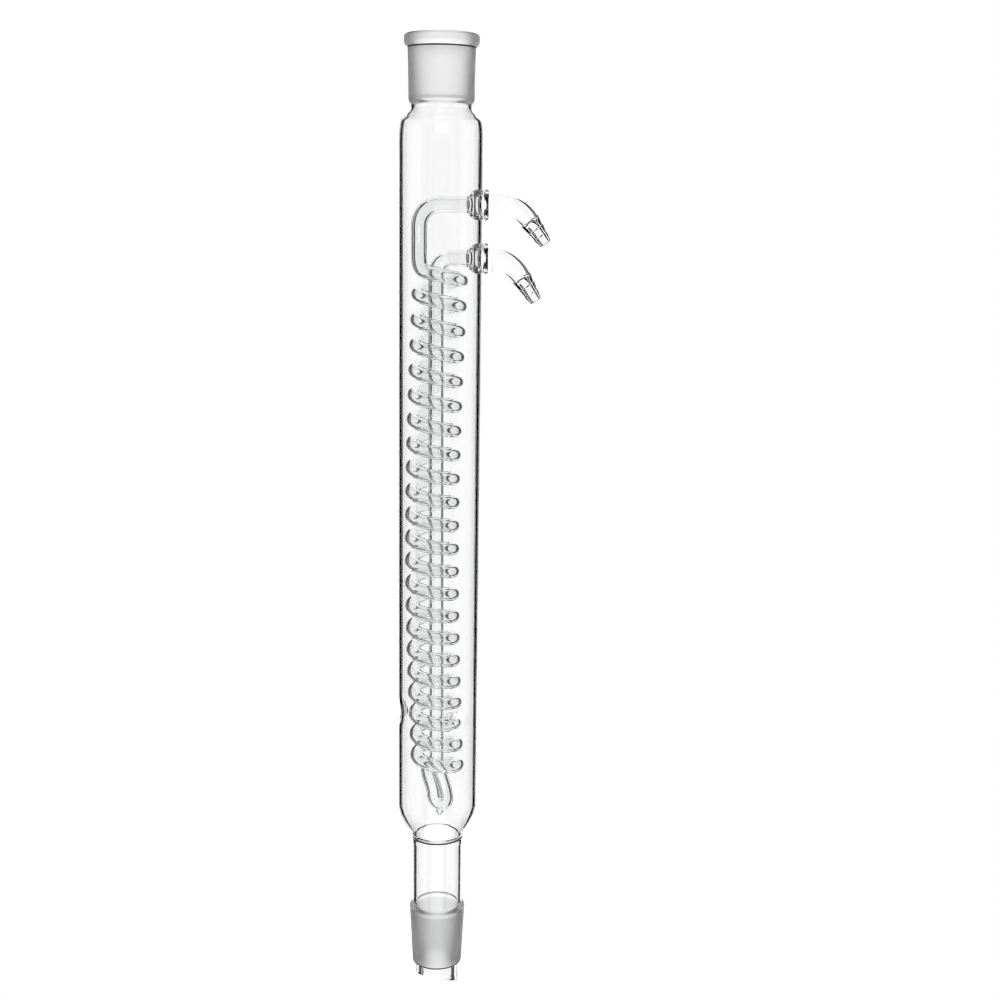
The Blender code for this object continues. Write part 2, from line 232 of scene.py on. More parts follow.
GROUND_BORE = frosted_glass("ground_bore", (0.99, 0.99, 0.99), 1.0, 0.4)
# painted shade: a greyer copy of the ground glass, darker for the shade that falls on the cone
GROUND_CONE_SHADED = frosted_glass("ground_cone_painted_shade", (0.76, 0.77, 0.76), 0.92, 0.55)
# painted shade: near-black rough glass for the shade in the creases round the socket, cone and foot
PAINTED_SHADE_GLASS = frosted_glass("crease_painted_shade", (0.03, 0.035, 0.033), 0.6, 0.3)
SATIN_SIDE = frosted_glass("satin_side", (1.0, 1.0, 1.0), 1.0, 0.3)
MATERIALS = (clear_glass(), GROUND_BORE, weld(), GROUND_CONE_SHADED, PAINTED_SHADE_GLASS, SATIN_SIDE)


# ---- building pieces from rings -----------------------------------------------------------------------
def finish_piece(name, node, mesh):
    """Makes the mesh a piece that stands for a CAD node."""
    tidy = bmesh.new()
    tidy.from_mesh(mesh)
    bmesh.ops.remove_doubles(tidy, verts=tidy.verts, dist=MERGE_DISTANCE)
    bmesh.ops.recalc_face_normals(tidy, faces=tidy.faces)
    tidy.to_mesh(mesh)
    tidy.free()
    mesh.shade_smooth()
    mesh.set_sharp_from_angle(angle=math.radians(SHARP_ANGLE))
    for material in MATERIALS:
        mesh.materials.append(material)
    piece = bpy.data.objects.new(name, mesh)
    bpy.context.scene.collection.objects.link(piece)
    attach(piece, "root")
    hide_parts(node)
    return piece


def banded(rings, bands, close=True):
    """Vertices, faces and face materials of rings joined in order; close joins the last to the first."""
    sides = len(rings[0])
    vertices = [point for ring in rings for point in ring]
    faces, materials = [], []
    for i in range(len(rings) if close else len(rings) - 1):
        a, b = i * sides, (i + 1) % len(rings) * sides
        for k in range(sides):
            m = (k + 1) % sides
            faces.append((a + k, a + m, b + m, b + k))
            materials.append(bands[i])
    return vertices, faces, materials


def mesh_from(name, vertices, faces, materials):
    mesh = bpy.data.meshes.new(name)
    mesh.from_pydata(vertices, [], faces)
    mesh.polygons.foreach_set("material_index", materials)
    return mesh


def curve_through(points, step):
    """A smooth curve through the points, with a point about every step.

    The first two numbers of a point are its place, and only they count as length.
    """
    ends = [2 * points[0] - points[1]] + points + [2 * points[-1] - points[-2]]
    line = []
    for i in range(1, len(ends) - 2):
        before, a, b, after = ends[i - 1 : i + 3]
        run = (b - a).xy.length
        leaving = (b - before) * (run / ((a - before).xy.length + run))
        arriving = (after - a) * (run / ((after - b).xy.length + run))
        count = max(1, round(run / step))
        for j in range(count):
            t = j / count
            across = a * (1 - t) ** 2 * (1 + 2 * t) + b * t**2 * (3 - 2 * t)
            line.append(across + leaving * t * (1 - t) ** 2 - arriving * t**2 * (1 - t))
    return line + [points[-1]]


def outline(*parts):
    """A turned piece's outline as [(radius, z, slant)], and the material of each band along it.

    Each part is (material, step, points), and starts where the last one ended. A part with a step is a
    smooth curve, and one without is straight lines.
    """
    line, bands = [], []
    for material, step, points in parts:
        points = [Vector((*point, 0.0)[:3]) for point in points]
        run = curve_through(points, step) if step else points
        if line and (run[0] - line[-1]).length < 1e-6:
            run = run[1:]
            bands.append(material)
        elif line:
            bands.append(material)
        line += run
        bands += [material] * (len(run) - 1)
    return line, bands


def turned(name, node, line, bands, sides=TURNED_SIDES, placed=None):
    """A solid of revolution about Z from an outline, whose last and first points a fused band joins."""
    rings = []
    for radius, z, slant in line:
        ring = []
        for k in range(sides):
            x = radius * math.cos(math.tau * k / sides)
            y = radius * math.sin(math.tau * k / sides)
            ring.append(Vector((x, y, z - slant * (TIP_SLANT[0] * x + TIP_SLANT[1] * y))))
        rings.append(ring)
    mesh = mesh_from(name, *banded(rings, bands + [WELD]))
    if placed is not None:
        mesh.transform(placed)
    return finish_piece(name, node, mesh)


def tube_rings(path, radii, sides, start_heading, end_heading):
    """Rings square to a path, with as little twist between them as possible."""
    headings = [start_heading.normalized()]
    for before, after in zip(path[:-2], path[2:]):
        headings.append((after - before).normalized())
    headings.append(end_heading.normalized())
    across = headings[0].orthogonal().normalized()
    rings = []
    previous = headings[0]
    for place, heading, radius in zip(path, headings, radii):
        across = previous.rotation_difference(heading) @ across
        across = (across - heading * across.dot(heading)).normalized()
        up = heading.cross(across)
        previous = heading
        ring = []
        for k in range(sides):
            a = math.tau * k / sides
            ring.append(place + across * (radius * math.cos(a)) + up * (radius * math.sin(a)))
        rings.append(ring)
    return rings


def hollow(name, node, path, radii, wall, headings, sides=TUBE_SIDES):
    """A glass tube along a path. Its two end faces are fused to its neighbours."""
    outer = tube_rings(path, radii, sides, *headings)
    bore = tube_rings(path, [radius - wall for radius in radii], sides, *headings)
    rings = outer + bore[::-1]
    bands = [CLEAR] * (len(outer) - 1) + [WELD] + [CLEAR] * (len(bore) - 1) + [WELD]
    return finish_piece(name, node, mesh_from(name, *banded(rings, bands)))


def arc(centre, start, end, radius, steps, across, up):
    """Points on an arc, between two angles in degrees counted from across towards up."""
    points = []
    for i in range(steps + 1):
        angle = math.radians(start + (end - start) * i / steps)
        points.append(centre + across * (radius * math.cos(angle)) + up * (radius * math.sin(angle)))
    return points


def eased(start, start_heading, end, end_heading, steps):
    """A cubic curve that leaves start and meets end along the two heading vectors."""
    points = []
    for i in range(steps + 1):
        t = i / steps
        points.append(
            start * (2 * t**3 - 3 * t**2 + 1)
            + start_heading * (t**3 - 2 * t**2 + t)
            + end * (3 * t**2 - 2 * t**3)
            + end_heading * (t**3 - t**2)
        )
    return points


def straight(start, end, steps):
    return [start.lerp(end, i / steps) for i in range(steps + 1)]


# ---- the vapour side: socket, jacket, stem and cone ---------------------------------------------------
def make_upper_socket():
    bottom = JACKET_TOP_Z
    bore = NECK_RADIUS - JACKET_WALL
    small = JOINT_RADIUS - JOINT_TAPER * JOINT_LENGTH
    top = SOCKET_TOP_Z
    bead = BEAD_RADIUS
    outer = [
        (NECK_RADIUS, bottom),
        (NECK_RADIUS - 0.0001, 0.4219),
        (NECK_RADIUS + 0.0002, 0.4224),
        (0.0158, 0.4229),
        (0.0161, 0.4236),
        (0.0163, 0.4250),
        (0.0164, 0.4350),
        (0.0167, 0.4470),
        (0.0168, 0.4484),
    ]
    crease_painted_shade = [(0.0168, 0.4484), (0.0167, 0.4488), (0.0169, 0.4492)]
    collar = [
        (0.0169, 0.4492),
        (0.0174, 0.4494),
        (bead - 0.0006, 0.4499),
        (bead, 0.4513),
        (bead + 0.00002, 0.4525),
        (bead, 0.4538),
        (bead - 0.0003, 0.4547),
        (bead - 0.0010, 0.4552),
        (bead - 0.0018, top),
    ]
    rim = [(bead - 0.0018, top), (JOINT_RADIUS + 0.0009, top), (JOINT_RADIUS + 0.0003, top - 0.0002)]
    lip = [(JOINT_RADIUS + 0.0003, top - 0.0002), (JOINT_RADIUS + 0.0001, top - 0.0009)]
    ground = [(JOINT_RADIUS + 0.0001, top - 0.0009), (small, 0.4258)]
    ground_end = [(small, 0.4258), (small - 0.0003, 0.4244)]
    throat = [(small - 0.0003, 0.4244), (small - 0.0001, 0.4234), (bore, 0.4222), (bore, bottom)]
    line, bands = outline(
        (SATIN, 0.0004, outer),
        # painted shade: the dip under the bead is given the near-black band for the shade there
        (PAINTED_SHADE, 0.0002, crease_painted_shade),
        (SATIN, 0.0004, collar),
        (CLEAR, 0.0004, rim),
        (CLEAR, None, lip),
        (FROSTED, None, ground),
        # ground finish, with its grey colour painted shade
        (MATT_AND_SHADE, None, ground_end),
        (CLEAR, 0.0004, throat),
    )
    return turned("upper_socket_glass", "upper_socket", line, bands)


def jacket_outline():
    """(radius, z) along the jacket's outer side, from the stem up to the socket."""
    full = JACKET_RADIUS
    foot = [(STEM_RADIUS, JACKET_BOTTOM_Z), (STEM_RADIUS, 0.0371), (0.0133, 0.0381), (0.0134, 0.0394)]
    foot += [(0.0134, 0.0402), (0.0129, FOOT_TOP_Z)]
    lower = [
        (0.0129, FOOT_TOP_Z),
        (0.0136, 0.0412),
        (0.0146, 0.0426),
        (0.0160, 0.0452),
        (0.0178, 0.0485),
        (0.0192, 0.0515),
        (0.0203, 0.0546),
        (0.0209, 0.0578),
        (full, 0.0610),
        (full, 0.0630),
    ]
    upper = [
        (full, 0.4050),
        (full, 0.4070),
        (0.0208, 0.4098),
        (0.0201, 0.4142),
        (0.0180, 0.4171),
        (0.0164, 0.4190),
        (0.0155, 0.4202),
        (NECK_RADIUS, JACKET_TOP_Z),
    ]
    line = curve_through([Vector(point) for point in foot], 0.0005)[:-1]
    line += curve_through([Vector(point) for point in lower], 0.0008)
    half = window_half()
    # (height, distance between the rings below it); the windows have a fixed number of rings instead
    stops = [
        (DENT_Z - 0.010, 0.0020),
        (DENT_Z + 0.010, 0.0006),
        (LOWER_PORT_Z - half, 0.0020),
        (LOWER_PORT_Z + half, None),
        (UPPER_PORT_Z - half, 0.0015),
        (UPPER_PORT_Z + half, None),
        (upper[0][1], 0.0020),
    ]
    for stop, step in stops:
        start = line[-1].y
        count = round((stop - start) / step) if step else WINDOW_CELLS
        line += [Vector((full, start + (stop - start) * (i + 1) / count)) for i in range(count)]
    return line + curve_through([Vector(point) for point in upper], 0.0008)[1:]


def window_half():
    """Half the side of the square that a port takes out of the jacket's grid."""
    return JACKET_RADIUS * math.tau / JACKET_SIDES * WINDOW_CELLS / 2


def offset_inwards(line, wall):
    """The line moved by the wall's thickness, square to itself.

    In the foot the outside bulges and the bore doesn't: it goes straight on from the stem's bore.
    """
    moved = []
    for i, point in enumerate(line):
        along = (line[min(i + 1, len(line) - 1)] - line[max(i - 1, 0)]).normalized()
        moved.append(point - Vector((along.y, -along.x)) * wall)
    moved[0].y, moved[-1].y = line[0].y, line[-1].y
    for point, outer in zip(moved, line):
        if outer.y < FOOT_TOP_Z + FOOT_BORE_RISE:
            point.x, point.y = STEM_RADIUS - STEM_WALL, outer.y
    return moved


def bore_shift(z):
    """How far the jacket's bore lies off centre at a height. It is centred at both ends."""
    reach = 0.020
    inside = min(1.0, (z - JACKET_BOTTOM_Z) / reach, (JACKET_TOP_Z - z) / reach)
    return BORE_SHIFT * inside * inside * (3.0 - 2.0 * inside)


def dented(point, inner):
    """A point of the jacket's wall, pushed in near the three dents."""
    pushed = point.copy()
    for direction, depth in DENTS:
        angle = math.radians(direction)
        outward = Vector((math.cos(angle), math.sin(angle), 0.0))
        centre = outward * (JACKET_RADIUS - inner) + Z_AXIS * DENT_Z
        share = math.exp(-(((point - centre).length / DENT_SPREAD) ** 2) / 2.0)
        pushed -= outward * (depth * share)
    return pushed


def port_patch(radius, height, shift=0.0):
    """The jacket's wall round a port, from the round hole to the square window, as loops on a cylinder.

    The first loop is the hole's edge, and the last one is the window's own edge.
    """
    half, turn = window_half(), math.tau / JACKET_SIDES * WINDOW_CELLS / 2
    count = WINDOW_CELLS
    edge = []
    for k in range(4 * count):
        side, i = divmod(k + count // 2, count)
        run = -1.0 + 2.0 * i / count
        edge.append([(1.0, run), (-run, 1.0), (-1.0, -run), (run, -1.0)][side % 4])
    rows = 6
    loops = []
    for row in range(rows + 1):
        t = row / rows
        loop = []
        for k, (across, up) in enumerate(edge):
            phi = math.tau * k / (4 * count)
            y, z = PORT_RADIUS * math.cos(phi), PORT_RADIUS * math.sin(phi)
            angle = (1 - t) * math.asin(y / radius) + t * across * turn
            rise = (1 - t) * z + t * up * half
            x, y = shift + radius * math.cos(angle), radius * math.sin(angle)
            loop.append(Vector((x, y, height + rise)))
        loops.append(loop)
    return loops


def in_window(ring_z, next_z, k):
    """Whether a cell of the jacket's grid lies in one of the two windows."""
    inside = k < WINDOW_CELLS // 2 or k >= JACKET_SIDES - WINDOW_CELLS // 2
    middle = (ring_z + next_z) / 2
    return inside and any(abs(middle - z) < window_half() for z in (LOWER_PORT_Z, UPPER_PORT_Z))


def make_jacket():
    """The wide tube with its dents and port windows. The foot's painted shade line is on the front half
    only.
    """
    outer = jacket_outline()
    bore = offset_inwards(outer, JACKET_WALL)
    vertices, faces, materials = [], [], []
    for line, inner in ((outer, 0.0), (bore, JACKET_WALL)):
        first = len(vertices)
        for radius, z in line:
            for k in range(JACKET_SIDES):
                angle = math.tau * k / JACKET_SIDES
                point = Vector((radius * math.cos(angle), radius * math.sin(angle), z))
                point.x += bore_shift(z) if inner else 0.0
                vertices.append(dented(point, inner) if abs(z - DENT_Z) < DENT_REACH else point)
        for i in range(len(line) - 1):
            for k in range(JACKET_SIDES):
                if in_window(line[i].y, line[i + 1].y, k):
                    continue
                a, b = first + i * JACKET_SIDES, first + (i + 1) * JACKET_SIDES
                m = (k + 1) % JACKET_SIDES
                faces.append((a + k, a + m, b + m, b + k))
                # painted shade: outer faces at the foot's top on the front half get the near-black band
                foot = not inner and abs((line[i].y + line[i + 1].y) / 2 - FOOT_TOP_Z) < FOOT_SHADE_HALF_HEIGHT
                materials.append(PAINTED_SHADE if foot and k > JACKET_SIDES / 2 else CLEAR)
    count = len(outer) * JACKET_SIDES
    for ring in (0, len(outer) - 1):
        for k in range(JACKET_SIDES):
            a, m = ring * JACKET_SIDES, (k + 1) % JACKET_SIDES
            faces.append((a + k, a + m, count + a + m, count + a + k))
            materials.append(WELD)
    for height in (LOWER_PORT_Z, UPPER_PORT_Z):
        outside = port_patch(JACKET_RADIUS, height)
        inside = port_patch(JACKET_RADIUS - JACKET_WALL, height, BORE_SHIFT)
        loops = outside[::-1] + inside
        bands = [CLEAR] * (len(outside) - 1) + [WELD] + [CLEAR] * (len(inside) - 1)
        points, quads, kinds = banded(loops, bands, close=False)
        first = len(vertices)
        vertices += points
        faces += [tuple(first + v for v in quad) for quad in quads]
        materials += kinds
    mesh = mesh_from("jacket_glass", vertices, faces, materials)
    return finish_piece("jacket_glass", "jacket_tube", mesh)


def make_lower_stem():
    top, bottom = JACKET_BOTTOM_Z, STEM_BOTTOM_Z
    radius, bore = STEM_RADIUS, STEM_RADIUS - STEM_WALL
    outer = [(radius, bottom), (radius, top - 0.0020), (radius, top)]
    inner = [(bore, top), (bore, top - 0.0100), (bore, bottom + 0.0050), (bore, bottom)]
    line, bands = outline(
        (CLEAR, 0.0010, outer),
        (WELD, None, [outer[-1], inner[0]]),
        (CLEAR, 0.0010, inner),
    )
    return turned("lower_stem_glass", "lower_stem", line, bands)


def make_lower_cone():
    bore = STEM_RADIUS - STEM_WALL
    shoulder = [
        (STEM_RADIUS, STEM_BOTTOM_Z),
        (STEM_RADIUS, 0.0028),
        (0.0133, 0.0021),
        (0.0137, 0.0016),
    ]
    edge = [
        (0.0137, 0.0016),
        (0.0144, 0.0010),
        (JOINT_RADIUS + 0.0001, 0.0003),
        (JOINT_RADIUS + 0.0001, -0.0006),
        (JOINT_RADIUS, -0.0014),
    ]
    small = JOINT_RADIUS + JOINT_TAPER * GROUND_END_Z
    ground = [edge[-1], (small, GROUND_END_Z)]
    chamfer = [(small, GROUND_END_Z), (small - 0.0001, -0.0311), (small - 0.0007, -0.0317)]
    tip = [
        chamfer[-1],
        (0.0118, -0.0319),
        (0.0115, -0.0322),
        (0.0114, -0.0330),
        (0.0114, -0.0370, 0.3),
        (0.0114, TIP_Z + 0.0008, 1.0),
        (0.0112, TIP_Z + 0.0002, 1.0),
        (0.0107, TIP_Z, 1.0),
        (0.0088, TIP_Z + 0.0001, 1.0),
        (0.0083, TIP_Z + 0.0008, 1.0),
        (0.0082, -0.0370, 0.3),
        (0.0083, -0.0330),
        (0.0090, -0.0285),
        (0.0102, -0.0230),
        (0.0110, -0.0160),
        (bore - 0.0002, -0.0060),
        (bore, 0.0000),
        (bore, STEM_BOTTOM_Z),
    ]
    line, bands = outline(
        (CLEAR, 0.0004, shoulder),
        (FROSTED, 0.0003, edge),
        # the cone's ground side: a real ground finish, with its grey colour painted shade
        (MATT_AND_SHADE, None, ground),
        # painted shade: the chamfer below the grinding is given the near-black band for the shade there
        (PAINTED_SHADE, 0.0002, chamfer),
        (CLEAR, 0.0004, tip),
    )
    return turned("lower_cone_glass", "lower_cone", line, bands)


# ---- the water side: coil, riser, return tube, bottom bend and drip point -----------------------------
def coil_place(turns):
    """A point on the coil's centre line, counted in turns from the first turn's +X side."""
    shrink = (COIL_PITCH_TOP - COIL_PITCH_BOTTOM) / COIL_LAST_TURN / 2.0
    z = COIL_TOP_Z - COIL_PITCH_TOP * turns + shrink * turns**2
    share = (turns + COIL_BOW_MARGIN) / (COIL_LAST_TURN + 2 * COIL_BOW_MARGIN)
    bow = COIL_BOW * math.sin(math.pi * min(max(share, 0.0), 1.0))
    angle = math.tau * turns
    return Vector((COIL_RADIUS * math.cos(angle) - bow, COIL_RADIUS * math.sin(angle), z))


def coil_heading(turns):
    step = 0.0005
    return (coil_place(turns + step) - coil_place(turns - step)).normalized()


def make_coil():
    steps = round((COIL_END - COIL_START) * COIL_STEPS)
    path = [coil_place(COIL_START + (COIL_END - COIL_START) * i / steps) for i in range(steps + 1)]
    headings = (coil_heading(COIL_START), coil_heading(COIL_END))
    radii = [COIL_TUBE_RADIUS] * len(path)
    return hollow("cooling_coil_glass", "cooling_coil", path, radii, COIL_WALL, headings, COIL_SIDES)


def make_riser():
    """From the upper ring seal across to -X, down, and round into the coil's first turn."""
    corner = Vector((RISER_X + RISER_BEND, 0.0, UPPER_PORT_Z - RISER_BEND))
    bend = arc(corner, 90.0, 180.0, RISER_BEND, 24, X_AXIS, Z_AXIS)
    across = straight(Vector((SEAL_INNER_X, 0.0, UPPER_PORT_Z)), bend[0], 8)
    heading = coil_heading(COIL_START)
    reach = 0.016
    low = Vector((RISER_X, 0.0005, 0.3545))
    down = eased(bend[-1], DOWN * (bend[-1] - low).length, low, DOWN * (bend[-1] - low).length, 6)
    sweep = eased(low, DOWN * reach, coil_place(COIL_START), heading * reach, 24)
    path = across + bend[1:] + down[1:] + sweep[1:]
    narrowing = 12
    radii = [TUBE_RADIUS] * (len(path) - narrowing)
    change = COIL_TUBE_RADIUS - TUBE_RADIUS
    radii += [TUBE_RADIUS + change * (i + 1) / narrowing for i in range(narrowing)]
    return hollow("coil_riser_glass", "coil_riser", path, radii, COIL_WALL, (-X_AXIS, heading))


def make_return_tube():
    corner = CORE_TOP + X_AXIS * ELBOW_BEND
    elbow = arc(corner, 180.0, 90.0, ELBOW_BEND, 24, X_AXIS, Z_AXIS)
    end = Vector((SEAL_INNER_X, 0.0, CORE_TOP.z + ELBOW_BEND))
    path = straight(CORE_BOTTOM, elbow[0], 40) + elbow[1:] + straight(elbow[-1], end, 6)[1:]
    radii = [TUBE_RADIUS] * len(path)
    headings = (CORE_TOP - CORE_BOTTOM, X_AXIS)
    return hollow("return_tube_glass", "return_tube", path, radii, TUBE_WALL, headings)


def make_bottom_bend():
    """From the return tube down round a tight hairpin, and up to the coil's last turn."""
    side = Vector((math.cos(HAIRPIN_TURN), math.sin(HAIRPIN_TURN), 0.0))
    hairpin = arc(HAIRPIN_CENTRE, 180.0, 360.0, HAIRPIN_RADIUS, 32, side, Z_AXIS)
    core_heading = (CORE_BOTTOM - CORE_TOP).normalized()
    pull = 0.020  # length of the tangents, and a shorter one where the tube leaves the hairpin upwards
    short_pull = 0.017
    first = eased(CORE_BOTTOM, core_heading * pull, hairpin[0], DOWN * pull, 20)
    heading = coil_heading(COIL_END)
    last = eased(hairpin[-1], Z_AXIS * short_pull, coil_place(COIL_END), -heading * pull, 28)
    path = first + hairpin[1:-1] + last
    narrowing, widening = 14, 8  # rings over which the tube's radius changes at either end
    radii = []
    for i in range(len(path)):
        from_core = min(1.0, i / narrowing)
        from_coil = min(1.0, (len(path) - 1 - i) / widening)
        wide = TUBE_RADIUS + (HAIRPIN_TUBE_RADIUS - TUBE_RADIUS) * from_core
        radii.append(wide + (COIL_TUBE_RADIUS - HAIRPIN_TUBE_RADIUS) * (1.0 - from_coil))
    return hollow("bottom_bend_glass", "bottom_bend", path, radii, COIL_WALL, (core_heading, -heading))


def make_drip_point():
    nib = [(0.0021, 0.0), (0.0020, -0.0007), (0.0014, -0.0014), (0.0010, -0.0020), (0.0007, -0.0028)]
    tip = [(0.0007, -0.0028), (0.0005, -0.0031), (NIB_CORE, -0.0033)]
    core = [tip[-1], (NIB_CORE, 0.0)]
    line, bands = outline((CLEAR, 0.0003, nib), (CLEAR, 0.0002, tip), (WELD, None, core))
    placed = Matrix.Translation(DRIP_POINT)
    return turned("drip_point_glass", "drip_point", line, bands, 24, placed)


# ---- the water connections ----------------------------------------------------------------------------
def round_ring(x, radius, height, sides):
    """A ring square to X."""
    turns = [math.tau * k / sides for k in range(sides)]
    return [Vector((x, radius * math.cos(a), height + radius * math.sin(a))) for a in turns]


def wall_ring(radius, height, sides, jacket):
    """The ring where a tube of that radius along X meets the jacket's cylinder."""
    ring = round_ring(0.0, radius, height, sides)
    for point in ring:
        point.x = math.sqrt(jacket**2 - point.y**2)
    return ring


def make_ring_seal(side, height):
    """The flared seal that carries the water through the wall: a bead outside and a bulge inside."""
    sides = 4 * WINDOW_CELLS
    out, inner, outer = SEAL_OUTER_X, JACKET_RADIUS - JACKET_WALL, JACKET_RADIUS
    skirt = wall_ring(PORT_RADIUS, height, sides, outer)
    hem = wall_ring(PORT_RADIUS, height, sides, inner)
    for point in hem:
        point.x += BORE_SHIFT
    # (share of the way from the wall's ring to the flat ring, x, radius)
    outside = [(0.25, 0.0219, 0.0074), (0.5, 0.0222, 0.0077)]
    outside += [(0.8, 0.0227, 0.00775), (1.0, 0.0232, 0.0075)]
    inside = [(0.3, 0.0181, 0.0076), (0.6, 0.0174, 0.0076)]
    inside += [(0.9, 0.0164, 0.0071), (1.0, 0.0152, 0.0062)]

    def between(ring, rows):
        made = []
        for share, x, radius in rows:
            flat = round_ring(x, radius, height, sides)
            for point, wall in zip(flat, ring):
                point.x = wall.x * (1 - share) + x * share
            made.append(flat)
        return made

    rings = [skirt] + between(skirt, outside) + [round_ring(out, ARM_ROOT_RADIUS, height, sides)]
    bands = [CLEAR] * (len(rings) - 1) + [WELD]
    bore = [(out, ARM_ROOT_RADIUS - ARM_WALL), (0.0222, 0.0056), (0.0205, 0.0050), (0.0188, 0.0052)]
    bore += [(0.0172, 0.0056), (0.0163, 0.0054), (0.0157, 0.0045), (0.0152, 0.0035)]
    bore += [(0.0145, 0.0030), (SEAL_INNER_X, TUBE_RADIUS - TUBE_WALL)]
    bore = [(p.x, p.y) for p in curve_through([Vector(point) for point in bore], 0.0006)]
    rings += [round_ring(x, radius, height, sides) for x, radius in bore]
    bands += [CLEAR] * (len(bore) - 1) + [WELD]
    flare = [(SEAL_INNER_X, TUBE_RADIUS), (0.0134, 0.0043), (0.0139, 0.0049), (0.0145, 0.0055)]
    rings += [round_ring(x, radius, height, sides) for x, radius in flare]
    bands += [CLEAR] * len(flare)
    rings += between(hem, inside)[::-1] + [hem]
    bands += [CLEAR] * len(inside) + [WELD]
    name = side + "_ring_seal"
    return finish_piece(name + "_glass", name, mesh_from(name, *banded(rings, bands)))


def make_side_arm(side, height, run, start_tilt, end_tilt, bend):
    """The arm bends down and narrows evenly. Gives back the place and heading of its end."""
    start = Vector((SEAL_OUTER_X, 0.0, height))
    out = Vector((math.cos(math.radians(start_tilt)), 0.0, -math.sin(math.radians(start_tilt))))
    into_bend = Vector((out.z, 0.0, -out.x))
    centre = start + X_AXIS * (run + ARM_ROOT_RUN) + into_bend * bend
    bow = arc(centre, 90.0 - start_tilt, 90.0 - end_tilt, bend, 40, X_AXIS, Z_AXIS)
    heading = Vector((math.cos(math.radians(end_tilt)), 0.0, -math.sin(math.radians(end_tilt))))
    path = straight(start, bow[0], 6) + bow[1:]
    runs = [0.0]
    for a, b in zip(path, path[1:]):
        runs.append(runs[-1] + (b - a).length)
    change = ARM_END_RADIUS - ARM_ROOT_RADIUS
    radii = [ARM_ROOT_RADIUS + change * length / runs[-1] for length in runs]
    name = side + "_side_arm"
    hollow(name + "_glass", name, path, radii, ARM_WALL, (X_AXIS, heading), 36)
    return path[-1], heading


def make_hose_barb(side, start, heading):
    """Three teeth that widen towards the arm, with a fire-polished mouth."""
    end = BARB_LENGTH
    teeth = [(ARM_END_RADIUS, 0.0), (0.0051, 0.0006), (0.0042, 0.0048), (0.0046, 0.0051)]
    teeth += [(0.0036, 0.0090), (0.0040, 0.0093), (0.0031, end - 0.0005)]
    mouth = [(0.0031, end - 0.0005), (0.0029, end - 0.0001), (0.0026, end)]
    mouth += [(0.0022, end - 0.0001), (BARB_BORE, end - 0.0005)]
    bore = [(BARB_BORE, end - 0.0005), (0.0020, 0.0090), (0.00205, 0.0045), (0.0022, 0.0024)]
    bore += [(0.0028, 0.0010), (ARM_END_RADIUS - ARM_WALL, 0.0)]
    line, bands = outline((CLEAR, None, teeth), (CLEAR, 0.0002, mouth), (CLEAR, 0.0006, bore))
    turn = Z_AXIS.rotation_difference(heading).to_matrix().to_4x4()
    name = side + "_hose_barb"
    placed = Matrix.Translation(start) @ turn
    return turned(name + "_glass", name, line, bands, 48, placed)


# ---- camera, light and floor --------------------------------------------------------------------------
CAMERA_PLACE = Vector((0.0, -0.7717, 0.3719))
CAMERA_PITCH, CAMERA_YAW, CAMERA_ROLL = (math.radians(a) for a in (10.829, 2.323, 0.753))
CAMERA_SENSOR = 36.0  # in millimetres, like the lens
CAMERA_LENS = 54.79


def make_camera():
    data = bpy.data.cameras.new("camera")
    data.sensor_width = CAMERA_SENSOR
    data.lens = CAMERA_LENS
    camera = bpy.data.objects.new("camera", data)
    bpy.context.scene.collection.objects.link(camera)
    turn = (
        Matrix.Rotation(-CAMERA_YAW, 4, "Z")
        @ Matrix.Rotation(math.pi / 2 - CAMERA_PITCH, 4, "X")
        @ Matrix.Rotation(CAMERA_ROLL, 4, "Z")
    )
    camera.matrix_world = Matrix.Translation(CAMERA_PLACE) @ turn
    bpy.context.scene.camera = camera
    return camera


def emitter(name, strength):
    material = bpy.data.materials.new(name)
    material.use_nodes = True
    nodes, links = material.node_tree.nodes, material.node_tree.links
    nodes.clear()
    output = nodes.new("ShaderNodeOutputMaterial")
    light = nodes.new("ShaderNodeEmission")
    light.inputs["Strength"].default_value = strength
    links.new(light.outputs["Emission"], output.inputs["Surface"])
    return material


SWEEP_DISTANCE = 0.80  # from the camera to the sweep's centre
SWEEP_RADIUS = 0.60
SWEEP_FROM, SWEEP_TO = -180.0, 80.0  # degrees from the level behind the object, up being positive
SWEEP_STEPS = 104
SWEEP_HALF_WIDTH = 0.22
SWEEP_SHIFT = -0.03  # to the left of the camera's axis
SWEEP_STRENGTH = 1.14


def make_sweep(camera):
    """A white sweep, curved from behind the object down under it. It moves with the camera."""
    vertices = []
    for i in range(SWEEP_STEPS + 1):
        angle = math.radians(SWEEP_FROM + (SWEEP_TO - SWEEP_FROM) * i / SWEEP_STEPS)
        y, z = SWEEP_RADIUS * math.sin(angle), -SWEEP_DISTANCE - SWEEP_RADIUS * math.cos(angle)
        vertices += [(SWEEP_SHIFT - SWEEP_HALF_WIDTH, y, z), (SWEEP_SHIFT + SWEEP_HALF_WIDTH, y, z)]
    mesh = bpy.data.meshes.new("sweep")
    faces = [(i, i + 1, i + 3, i + 2) for i in range(0, 2 * SWEEP_STEPS, 2)]
    mesh.from_pydata(vertices, [], faces)
    mesh.materials.append(emitter("sweep_light", SWEEP_STRENGTH))
    sweep = bpy.data.objects.new("sweep", mesh)
    bpy.context.scene.collection.objects.link(sweep)
    sweep.parent = camera
    sweep.visible_camera = False
    sweep.visible_shadow = False


PANEL_SIDE = 0.50  # how far the side panels stand to the left and right of the object
PANEL_HALF_DEPTH = 0.35
PANEL_HALF_HEIGHT = 0.60
PANEL_STRENGTH = 0.4


